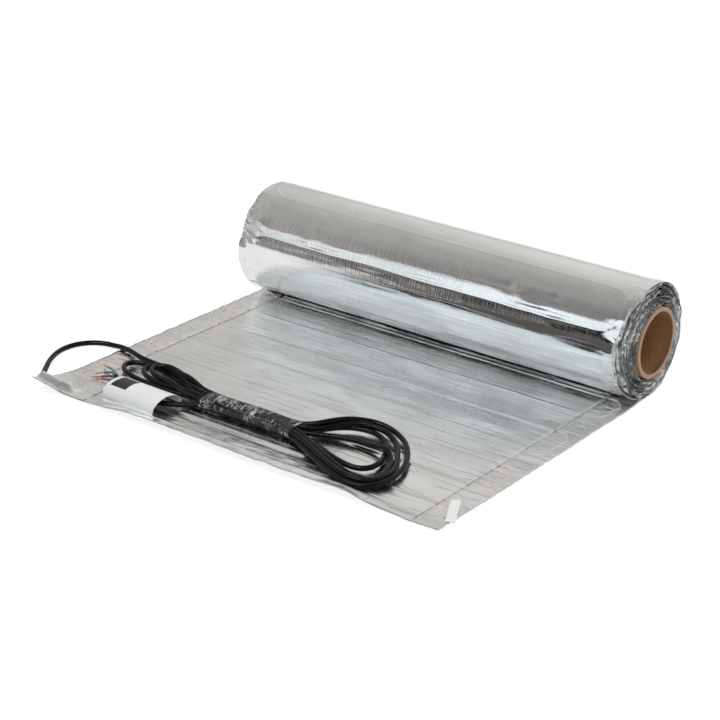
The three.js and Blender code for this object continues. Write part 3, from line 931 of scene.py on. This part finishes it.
class HEATINGKIT_OT_foils(bpy.types.Operator):
    """Build the unrolled base foil and the cover foil over it"""
    bl_idname = "heatingkit.foils"
    bl_label = "Unrolled foils"

    def execute(self, context):
        wrinkle = context.scene.heating_mat.wrinkle
        rows = np.linspace(-HALF_MAT, HALF_MAT, 190)[:, None]
        share = np.linspace(0, 1, 230)[None, :]
        front = front_edge(rows)
        y = front + (ROLL_Y - 0.002 - front) * share
        edge_wander = 0.0008 * line_noise(y / 0.05, 13) * step(np.abs(rows), 0.2, 0.25)
        x = rows + 0 * y + np.sign(rows) * edge_wander
        z = base_foil_grid(x, y, wrinkle)
        y = y - LIFT_PULL * corner_lift(x, y)
        base = flat_piece("base_foil", x, y, z, BASE_TOP, "base foil")
        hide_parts("foil_mat")
        rows = np.linspace(-COVER_HALF, COVER_HALF, 108)[:, None]
        share = np.linspace(0, 1, 460)[None, :]
        front = front_edge(rows) + COVER_SET_BACK
        y = front + (ROLL_Y - 0.009 - front) * share
        x = rows + 0 * y
        z = cover_foil_grid(x, y, wrinkle)
        y = y - LIFT_PULL * corner_lift(x, y)
        cover = flat_piece("cover_sheet", x, y, z, COVER_THICK, "cover foil")
        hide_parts("cover_foil")
        return {"FINISHED"}


def cable_line():
    """The heating cable's centreline: straight runs across the mat, joined in the margins by rounded bends,
    at the right after odd runs and at the left after even ones."""
    points = [(-218, -372, CABLE_Z_MM)]
    ys = [(y - ROLL_Y) / MM for y in RUNS_Y]
    bends = [(0, 33), (3, 51.8), (-2, 51.8), (2, 51.8), (0, 51.8), (-3, 51.8), (1, 51.8)]
    for k, y in enumerate(ys):
        side = 1 if k % 2 == 0 else -1
        points += [(side * x, y, CABLE_Z_MM) for x in (-150, -50, 50, 150, 205)]
        if k == len(ys) - 1:
            break
        wobble, pitch = bends[k]
        points += [(side * (222 + 0.5 * wobble), y - 0.5, 1.1), (side * (235 + 0.3 * wobble), y + 3, 1.3),
                   (side * 240.5, y + 13, 1.3), (side * (239.5 - 0.4 * wobble), y + pitch / 2 + wobble, 1.3),
                   (side * 241, y + pitch - 14, 1.3), (side * (234 - 0.3 * wobble), y + pitch - 4, 1.3),
                   (side * 222, y + pitch + 0.5, 1.1)]
    points += [(-222, -27.5, 1.1), (-233, -22, 1.5), (-238, -14, 1.5)]
    return curve_through(from_axis(points), 0.0025)


class HEATINGKIT_OT_cable(bpy.types.Operator):
    """Build the heating cable that runs to and fro between the foils"""
    bl_idname = "heatingkit.cable"
    bl_label = "Heating cable"

    def execute(self, context):
        line = cable_line()
        piece = tube_piece("heating_wire", line, CABLE_RADIUS, 8, bpy.data.materials["cable insulation"])
        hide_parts("heating_cable")
        return {"FINISHED"}


class HEATINGKIT_OT_patch(bpy.types.Operator):
    """Build the foil patch over the splice, and finish the splice"""
    bl_idname = "heatingkit.patch"
    bl_label = "Joint patch"

    def execute(self, context):
        rows = np.linspace(-0.2485, -0.19, 70)[:, None]
        columns = np.linspace(FRONT_Y + 0.0005, FRONT_Y + 0.041, 60)[None, :]
        x = rows + 0 * columns
        y = columns + 0 * rows
        hump = 0.0068 * np.exp(-((y - SPLICE_Y) / 0.0055) ** 2) * (1 - step(x, -0.219, -0.205))
        folds = 0.0007 * np.abs(lattice_noise(x / 0.006, y / 0.006, 61))
        z = COVER_TOP + 0.0004 + hump + folds + corner_lift(x, y)
        y = y - LIFT_PULL * corner_lift(x, y)
        piece = flat_piece("splice_patch", x, y, z, 0.0002, "base foil")
        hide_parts("joint_patch")
        splice = bpy.data.objects["lead_splice"]
        splice.data.materials.clear()
        splice.data.materials.append(bpy.data.materials["lead sheath"])
        return {"FINISHED"}


class HEATINGKIT_OT_tag(bpy.types.Operator):
    """Build the white tape tag at the front right corner"""
    bl_idname = "heatingkit.tag"
    bl_label = "Corner tag"

    def execute(self, context):
        along = np.linspace(-0.5, 0.5, 40)[:, None]
        across = np.linspace(-0.5, 0.5, 12)[None, :]
        a = TAG_SIZE[0] * along + 0 * across
        b = TAG_SIZE[1] * across + 0 * along
        x = TAG_CENTRE[0] + b * math.cos(TAG_TURN) - a * math.sin(TAG_TURN)
        y = TAG_CENTRE[1] + a * math.cos(TAG_TURN) + b * math.sin(TAG_TURN)
        z = 0.0024 + 0.0004 * lattice_noise(x / 0.008, y / 0.008, 71)
        piece = flat_piece("tape_tag", x, y, z, COVER_THICK, "tag tape")
        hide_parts("corner_tag")
        return {"FINISHED"}


def fan(x, turn, side, middle, seed):
    """Creases that spread like a fan from the roll's end at the angle middle: noise of the direction from
    that point, fading out 40 mm away from it."""
    off = HALF_MAT + 0.004 - side * x
    across = (turn - middle) * ROLL_Z
    direction = np.arctan2(across, off)
    reach = np.sqrt(off ** 2 + across ** 2)
    fade = np.clip(1 - reach / 0.042, 0, 1) ** 1.3 * step(reach, 0.002, 0.012)
    broad = creases(direction * 4.6 + 9, reach / 0.03, seed)
    return fade * (broad + 0.5 * creases(direction * 11 + 9, reach / 0.02, seed + 1))


def end_lumps(turn, side):
    """How far the roll's end bulges: straight stretches between eleven random corners round it."""
    count = 11
    table = np.random.default_rng(87 if side > 0 else 88).uniform(-1, 1, count + 1)
    table[-1] = table[0]
    place = (turn / FULL_TURN * count) % count
    return np.interp(place, np.arange(count + 1), table)


def roll_dents(x, turn):
    """How far the roll's skin stands off a true cylinder: slack waves, long folds along X, a lumpy outline
    and puckers near both ends, fans of creases, the crushed left end, the flat near the right end and two
    pressed dents. turn is the angle from the top towards the front."""
    around = turn / FULL_TURN
    low = step(np.cos(turn - math.radians(95)), 0.45, 0.85)
    waves = 0.0004 * lattice_noise(x / 0.22, around * 7, 81, 7)
    folds = 0.0001 * lattice_noise(x / 0.12, around * 34, 82, 34)
    folds = folds + low * 0.0002 * lattice_noise(x / 0.07, around * 70, 89, 70)
    short = low * 0.00034 * creases(x / 0.035, around * 44, 85, 44) * np.clip(
        lattice_noise(x / 0.05, around * 14, 80, 14), 0, 1)
    ends = 0.0008 * sum(step(side * x, 0.226, 0.249) * end_lumps(turn, side) for side in (1, -1))
    pucker = step(np.abs(x), 0.228, 0.249) * 0.0004 * creases(x / 0.02, around * 38, 84, 38)
    folded = 0
    for height, side, degrees, seed in ((0.0005, 1, 84, 83), (0.0007, 1, 116, 79), (0.0013, -1, 56, 86)):
        folded = folded + height * fan(x, turn, side, math.radians(degrees), seed)
    front = step(np.cos(turn - math.radians(56)), 0.82, 0.97)
    crush = -0.003 * front * step(-x, 0.226, 0.249)
    flat = -0.0019 * np.exp(-((turn - math.radians(66)) * ROLL_Z / 0.011) ** 2) * step(x, 0.214, 0.247)
    pressed = 0
    for place, degrees, width in ((0.104, 50.3, 0.0045), (0.159, 49.8, 0.0055)):
        away = (x - place) ** 2 + ((turn - math.radians(degrees)) * ROLL_Z) ** 2
        pressed = pressed - 0.00042 * np.exp(-away / width ** 2)
    return waves + folds + short + ends + pucker + folded + crush + flat + pressed


def skin_end(turn, side):
    """Where the outermost turn ends along the axis: ragged, and drawn back at the front of the right end."""
    ragged = 0.0009 * ring_noise(turn, 2.5 + side + 0 * turn, 22, 92)
    drawn = 0.0105 * np.exp(-(np.angle(np.exp(1j * (turn - math.radians(88)))) / 0.8) ** 2) * (side > 0)
    return SKIN_END + ragged - drawn


def cable_emboss(x, turn, radius):
    """The cable's runs pressed through the roll's skin: a low bell along each run, every second pair of runs
    joined by a bend near the right end and the others near the left one."""
    rise = np.zeros(np.broadcast(x, turn).shape)
    pitch = RUN_PITCH / radius
    first = math.radians(22.4)
    for k in range(-3, 4):
        centre = first + k * pitch
        away = np.angle(np.exp(1j * (turn - centre))) * radius
        inside = (1 - step(np.abs(x), 0.212, 0.22))
        rise += inside * np.exp(-(away / 0.0019) ** 2)
        side = 1 if k % 2 == 0 else -1
        middle = np.angle(np.exp(1j * (turn - centre - pitch / 2))) * radius
        half = pitch * radius / 2
        bend = np.abs(np.sqrt(np.clip(side * x - 0.212, 0, None) ** 2 / 0.026 ** 2
                              + (middle / half) ** 2) - 1) * half
        rise += (side * x > 0.214) * (np.abs(middle) < half * 1.2) * np.exp(-(bend / 0.002) ** 2)
    return 0.00024 * np.clip(rise, 0, 1.1)


def pocket(edge, skin, inner):
    """The hollow end of the roll: from the skin's edge in under the skin, and down on the floor of the turns
    to the bore. Places along the axis and distances from it."""
    under = skin - 0.00035
    low = under - 0.0004
    down = np.linspace(0, 1, 10)[:, None]
    x = np.vstack([edge, np.full_like(edge, POCKET_MOUTH), np.full((10, edge.size), POCKET_FLOOR)])
    return x, np.vstack([under, under, low + (inner - low) * down])


class HEATINGKIT_OT_roll(bpy.types.Operator):
    """Build the wound roll of mat: its skin, its bore and the floor of the turns on both ends"""
    bl_idname = "heatingkit.roll"
    bl_label = "Wound roll"

    def execute(self, context):
        core = context.scene.heating_core
        outer = ROLL_Z - 0.0006
        inner = core.outer_diameter / 2 + 0.0003
        turn = angles(420)[None, :]
        spread = np.linspace(-1, 1, 200)
        edge = skin_end(turn, 1)
        far_edge = skin_end(turn, -1)
        share = (np.sign(spread) * (1 - (1 - np.abs(spread)) ** 1.3))[:, None]
        skin_x = np.where(share > 0, share * edge, share * far_edge)
        skin_turn = turn + 0 * skin_x
        skin_r = outer + roll_dents(skin_x, skin_turn) + cable_emboss(skin_x, skin_turn, outer)
        right_x, right_r = pocket(edge, skin_r[-1], inner)
        left_x, left_r = pocket(far_edge, skin_r[0], inner)
        bore_x = np.linspace(POCKET_FLOOR, -POCKET_FLOOR, 12)[1:-1, None] + 0 * turn
        x = np.vstack([skin_x, right_x, bore_x, -left_x[::-1]])
        r = np.vstack([skin_r, right_r, np.full_like(bore_x, inner), left_r[::-1]])
        piece = ring_piece("mat_roll", roll_grid(x, r, turn + 0 * x), "rolled foil")
        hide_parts("foil_mat")
        return {"FINISHED"}


def roll_grid(x, r, turn):
    """Points at a place along the roll's axis, a distance from it and an angle from the top to the front."""
    grid = np.stack([x, ROLL_Y - r * np.sin(turn), ROLL_Z + r * np.cos(turn)], axis=-1)
    grid[..., 2] = np.maximum(grid[..., 2], 0.0002)
    return grid


class HEATINGKIT_OT_turns(bpy.types.Operator):
    """Build the crumpled edges of the turns that show on both ends of the roll"""
    bl_idname = "heatingkit.turns"
    bl_label = "Edges of the turns"

    def execute(self, context):
        mat = context.scene.heating_mat
        core = context.scene.heating_core
        inner = core.outer_diameter / 2 + 0.0009
        outer = ROLL_Z - 0.0019
        rings = mat.turns + 4
        turn = angles(330)[None, :]
        # the profile of one foil edge: how far out along the axis, and on which of its two faces
        out = np.array([0.0, 0.5, 0.76, 0.9, 1.0, 1.0, 0.9, 0.76, 0.5, 0.0])[:, None]
        face = np.array([1, 1, 1, 1, 0.5, -0.5, -1, -1, -1, -1])[:, None]
        for side, seed, name in ((1, 120, "wound_edges_right"), (-1, 160, "wound_edges_left")):
            vertices = []
            faces = []
            lumps = 0.0008 * end_lumps(turn, side)
            dent = roll_dents(np.full_like(turn, side * (HALF_MAT - 0.002)), turn) - lumps
            for k in range(rings):
                share = k / (rings - 1)
                base = inner + (outer - inner) * share
                shared = ring_noise(turn, 0.31 * k + 0 * turn, 9, seed)
                own = ring_noise(turn, k * 3.7 + 0 * turn, 30, seed + 1)
                crumple = creases(k * 5.3 + 0 * turn, turn / FULL_TURN * 46, seed + 2, 46)
                wander = 0.0009 * shared + 0.0007 * own
                curl = (0.0025 * ring_noise(turn, k * 2.3 + 0 * turn, 15, seed + 3) + 0.0012 * crumple
                        + 0.0007 * ring_noise(turn, k * 8.9 + 0 * turn, 60, seed + 6))
                rag = mat.ragged * (0.6 * ring_noise(turn, k * 4.1 + 0 * turn, 14, seed + 4)
                                    + 0.35 * ring_noise(turn, k * 6.9 + 0 * turn, 52, seed + 5))
                drawn = (SKIN_END - skin_end(turn, side)) * share ** 0.7
                tip = HALF_MAT - 0.001 + 0.0038 * (1 - share) + rag - 0.8 * drawn
                x = EDGE_ROOT + out * (tip - EDGE_ROOT)
                r = base + share * (lumps + 0.5 * dent) + wander * (0.5 + 0.5 * out) + curl * out ** 4
                r = np.clip(r + EDGE_HALF_THICK * face, inner - 0.0004, outer + 0.0014)
                grid = roll_grid(side * x, r, turn + 0 * x)
                faces.append(grid_faces(*grid.shape[:2], close_rows=True, close_columns=True,
                                        first=k * x.size, flip=side < 0))
                vertices.append(grid.reshape(-1, 3))
            piece = put_mesh(name, np.vstack(vertices), np.vstack(faces).tolist(),
                             bpy.data.materials["cut foil edges"], smooth=False)
            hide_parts("foil_mat")
        return {"FINISHED"}


def ring_noise(turn, shift, count, seed):
    """Smooth noise round a ring: count random steps to the turn, different for each shift."""
    return lattice_noise(shift + 0 * turn, (turn / FULL_TURN) * count + 0 * shift, seed, count)


class HEATINGKIT_OT_core(bpy.types.Operator):
    """Build the cardboard core"""
    bl_idname = "heatingkit.core"
    bl_label = "Cardboard core"

    def execute(self, context):
        core = context.scene.heating_core
        outside = core.outer_diameter / 2
        inside = core.bore / 2
        half = core.length / 2
        soft = 0.0005
        x = np.concatenate([
            np.linspace(-half + soft, half - soft, 40), [half, half, half, half - soft],
            np.linspace(half - soft, -half + soft, 40), [-half, -half, -half, -half + soft]])
        r = np.concatenate([
            np.full(40, outside), [outside - soft, (outside + inside) / 2, inside + soft, inside],
            np.full(40, inside), [inside + soft, (outside + inside) / 2, outside - soft, outside]])
        turn = angles(120)[None, :]
        x = x[:, None] + 0 * turn
        r = r[:, None] + 0.00012 * lattice_noise(x / 0.05, turn * 9 / FULL_TURN + 0 * x, 111, 9)
        piece = ring_piece("board_core", roll_grid(x, r, turn + 0 * x), "core board")
        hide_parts("core_tube")
        return {"FINISHED"}


def studio_world():
    """The studio seen from the object: light along +Y, grey overhead, a long soft light in front at about 30
    degrees up and dark below it. The brightness follows the angle in the YZ plane, rays after the second
    bounce get more fill, and the camera sees white."""
    world = bpy.data.worlds.new("studio")
    world.use_nodes = True
    bpy.context.scene.world = world
    new, link = clean_tree(world.node_tree)
    split = new("ShaderNodeSeparateXYZ")
    link(new("ShaderNodeTexCoord").outputs["Generated"], split.inputs["Vector"])
    angle = math_node(new, link, "ARCTAN2", split.outputs[2], split.outputs[1])
    place = math_node(new, link, "ADD", math_node(new, link, "DIVIDE", angle, FULL_TURN), 0.5)
    levels = [(-180, 0.09), (-90, 0.3), (-4, 0.45), (8, 0.56), (20, 0.66), (48, 0.6), (60, 0.52),
              (75, 0.42), (90, 0.34), (104, 0.3), (118, 0.25), (130, 0.19), (143, 0.2), (146, 0.95),
              (160, 1.0), (163, 0.25), (166, 0.006), (171, 0.006), (176, 0.09), (180, 0.09)]
    stops = []
    for degrees, level in levels:
        tint = (0.88, 0.95, 1.0) if 143 < degrees < 165 else (1.0, 0.985, 0.96)
        stops.append(((degrees + 180) / 360, tuple(level * t for t in tint)))
    seen = ramp(new, link, place, stops)
    aside = ramp(new, link, math_node(new, link, "MULTIPLY", split.outputs[0], -1.0),
                 [(0.548, grey(0)), (0.585, grey(0.8))])
    seen = mix_colour(new, link, aside, seen, (0.44, 0.43, 0.42))
    path = new("ShaderNodeLightPath")
    later = math_node(new, link, "GREATER_THAN", path.outputs["Ray Depth"], LATER_BOUNCE)
    fill = ramp(new, link, place, [(0.0, (0.38, 0.4, 0.42)), (0.5, grey(0.58)), (0.72, grey(0.52)),
                                   (0.82, (0.72, 0.79, 0.84)), (0.93, (0.84, 0.93, 0.99)),
                                   (0.965, (0.3, 0.32, 0.34)), (1.0, (0.34, 0.36, 0.38))])
    seen = mix_colour(new, link, math_node(new, link, "MULTIPLY", later, 0.75), seen, fill)
    around = new("ShaderNodeBackground")
    above = math_node(new, link, "GREATER_THAN", place, 0.5 + 142.0 / 360)
    below = math_node(new, link, "LESS_THAN", place, 0.5 + 143.5 / 360)
    strip = math_node(new, link, "MULTIPLY", math_node(new, link, "MULTIPLY", above, below), 1.6)
    soft = math_node(new, link, "MULTIPLY", path.outputs["Is Diffuse Ray"], 1.25)
    power = math_node(new, link, "ADD", math_node(new, link, "ADD", strip, 1.12), soft)
    link(power, around.inputs["Strength"])
    link(seen, around.inputs["Color"])
    white = new("ShaderNodeBackground")
    white.inputs["Color"].default_value = (1, 1, 1, 1)
    choose = new("ShaderNodeMixShader")
    link(path.outputs["Is Camera Ray"], choose.inputs["Fac"])
    link(around.outputs[0], choose.inputs[1])
    link(white.outputs[0], choose.inputs[2])
    link(choose.outputs[0], new("ShaderNodeOutputWorld").inputs["Surface"])


def lead_lamp():
    """A long narrow lamp over the front that lights only the lead and its film, for their thin shine."""
    data = bpy.data.lights.new("lead lamp", "AREA")
    data.shape = "RECTANGLE"
    data.size = 1.1
    data.size_y = 0.035
    data.energy = 8.0
    lamp = bpy.data.objects.new("lead lamp", data)
    lamp.location = (-0.15, -0.75, 0.85)
    lamp.rotation_euler = (math.radians(35), 0, 0)
    bpy.context.scene.collection.objects.link(lamp)
    lit = bpy.data.collections.new("lit by the lead lamp")
    lit.objects.link(bpy.data.objects["supply_lead_cord"])
    lit.objects.link(bpy.data.objects["film_wrap"])
    lamp.light_linking.receiver_collection = lit


def floor_material():
    """A plain pale floor: white with a faint shadow to the camera. In reflections it is dark in front of the
    mat, as in a studio with a dark front, and bright beside and behind the roll."""
    material = bpy.data.materials.new("studio floor")
    material.use_nodes = True
    new, link = clean_tree(material.node_tree)
    path = new("ShaderNodeLightPath")
    matte = new("ShaderNodeBsdfDiffuse")
    matte.inputs["Color"].default_value = (0.3, 0.3, 0.3, 1)
    glow = new("ShaderNodeEmission")
    glow.inputs["Strength"].default_value = 0.84
    lit = new("ShaderNodeAddShader")
    link(matte.outputs[0], lit.inputs[0])
    link(glow.outputs[0], lit.inputs[1])
    split = new("ShaderNodeSeparateXYZ")
    link(new("ShaderNodeTexCoord").outputs["Object"], split.inputs["Vector"])
    x, y, _ = split.outputs
    slant = math_node(new, link, "MULTIPLY", math_node(new, link, "ADD", y, 0.2), 0.62)
    left = math_node(new, link, "LESS_THAN", math_node(new, link, "SUBTRACT", x, slant), -0.3)
    beside = math_node(new, link, "MAXIMUM", math_node(new, link, "GREATER_THAN", x, 0.26), left)
    bright = math_node(new, link, "MAXIMUM", beside, math_node(new, link, "GREATER_THAN", y, 0.12))
    later = math_node(new, link, "GREATER_THAN", path.outputs["Ray Depth"], LATER_BOUNCE)
    bright = math_node(new, link, "MAXIMUM", bright, math_node(new, link, "MULTIPLY", later, 0.45))
    mirrored = new("ShaderNodeEmission")
    link(mix_colour(new, link, bright, (0.1, 0.092, 0.085), grey(0.9)), mirrored.inputs["Color"])
    dim = new("ShaderNodeBsdfDiffuse")
    dim.inputs["Color"].default_value = (0.5, 0.49, 0.48, 1)
    unseen = new("ShaderNodeMixShader")
    link(path.outputs["Is Glossy Ray"], unseen.inputs["Fac"])
    link(dim.outputs[0], unseen.inputs[1])
    link(mirrored.outputs[0], unseen.inputs[2])
    choose = new("ShaderNodeMixShader")
    link(path.outputs["Is Camera Ray"], choose.inputs["Fac"])
    link(unseen.outputs[0], choose.inputs[1])
    link(lit.outputs[0], choose.inputs[2])
    link(choose.outputs[0], new("ShaderNodeOutputMaterial").inputs["Surface"])
    return material


class HEATINGKIT_OT_stage(bpy.types.Operator):
    """Build the plain pale floor and the soft studio light"""
    bl_idname = "heatingkit.stage"
    bl_label = "Stage"

    def execute(self, context):
        studio_world()
        lead_lamp()
        corners = [(6.0 * x, 6.0 * y, -0.0002) for x, y in ((-1, -1), (1, -1), (1, 1), (-1, 1))]
        mesh = bpy.data.meshes.new("studio_floor")
        mesh.from_pydata(corners, [], [[0, 1, 2, 3]])
        mesh.materials.append(floor_material())
        floor = bpy.data.objects.new("studio_floor", mesh)
        context.scene.collection.objects.link(floor)
        context.scene.view_settings.view_transform = "Standard"
        context.scene.view_settings.look = "None"
        return {"FINISHED"}


class HEATINGKIT_PT_panel(bpy.types.Panel):
    bl_label = "Heating kit"
    bl_idname = "HEATINGKIT_PT_panel"
    bl_space_type = "VIEW_3D"
    bl_region_type = "UI"
    bl_category = "Heating kit"

    def draw(self, context):
        for group in (context.scene.heating_mat, context.scene.heating_core, context.scene.heating_lead):
            box = self.layout.box()
            for name in group.__annotations__:
                box.prop(group, name)
        for operator in STEPS:
            self.layout.operator(operator.bl_idname, text=operator.bl_label)


STEPS = (
    HEATINGKIT_OT_materials, HEATINGKIT_OT_camera, HEATINGKIT_OT_lead, HEATINGKIT_OT_wrap,
    HEATINGKIT_OT_label, HEATINGKIT_OT_cores, HEATINGKIT_OT_foils, HEATINGKIT_OT_cable,
    HEATINGKIT_OT_patch, HEATINGKIT_OT_tag, HEATINGKIT_OT_roll, HEATINGKIT_OT_turns, HEATINGKIT_OT_core,
    HEATINGKIT_OT_stage,
)
CLASSES = (HeatingKitLead, HeatingKitMat, HeatingKitCore, *STEPS, HEATINGKIT_PT_panel)


def register():
    """Registers the classes and puts their settings on the scene."""
    for cls in CLASSES:
        bpy.utils.register_class(cls)
    bpy.types.Scene.heating_lead = bpy.props.PointerProperty(type=HeatingKitLead)
    bpy.types.Scene.heating_mat = bpy.props.PointerProperty(type=HeatingKitMat)
    bpy.types.Scene.heating_core = bpy.props.PointerProperty(type=HeatingKitCore)


def unregister():
    """Takes the settings and the classes away again."""
    del bpy.types.Scene.heating_core
    del bpy.types.Scene.heating_mat
    del bpy.types.Scene.heating_lead
    for cls in reversed(CLASSES):
        bpy.utils.unregister_class(cls)


def main():
    """Builds every piece in order."""
    register()
    bpy.ops.heatingkit.materials()
    bpy.ops.heatingkit.camera()
    bpy.ops.heatingkit.lead()
    bpy.ops.heatingkit.wrap()
    bpy.ops.heatingkit.label()
    bpy.ops.heatingkit.cores()
    bpy.ops.heatingkit.foils()
    bpy.ops.heatingkit.cable()
    bpy.ops.heatingkit.patch()
    bpy.ops.heatingkit.tag()
    bpy.ops.heatingkit.roll()
    bpy.ops.heatingkit.turns()
    bpy.ops.heatingkit.core()
    bpy.ops.heatingkit.stage()


if __name__ == "__main__":
    main()
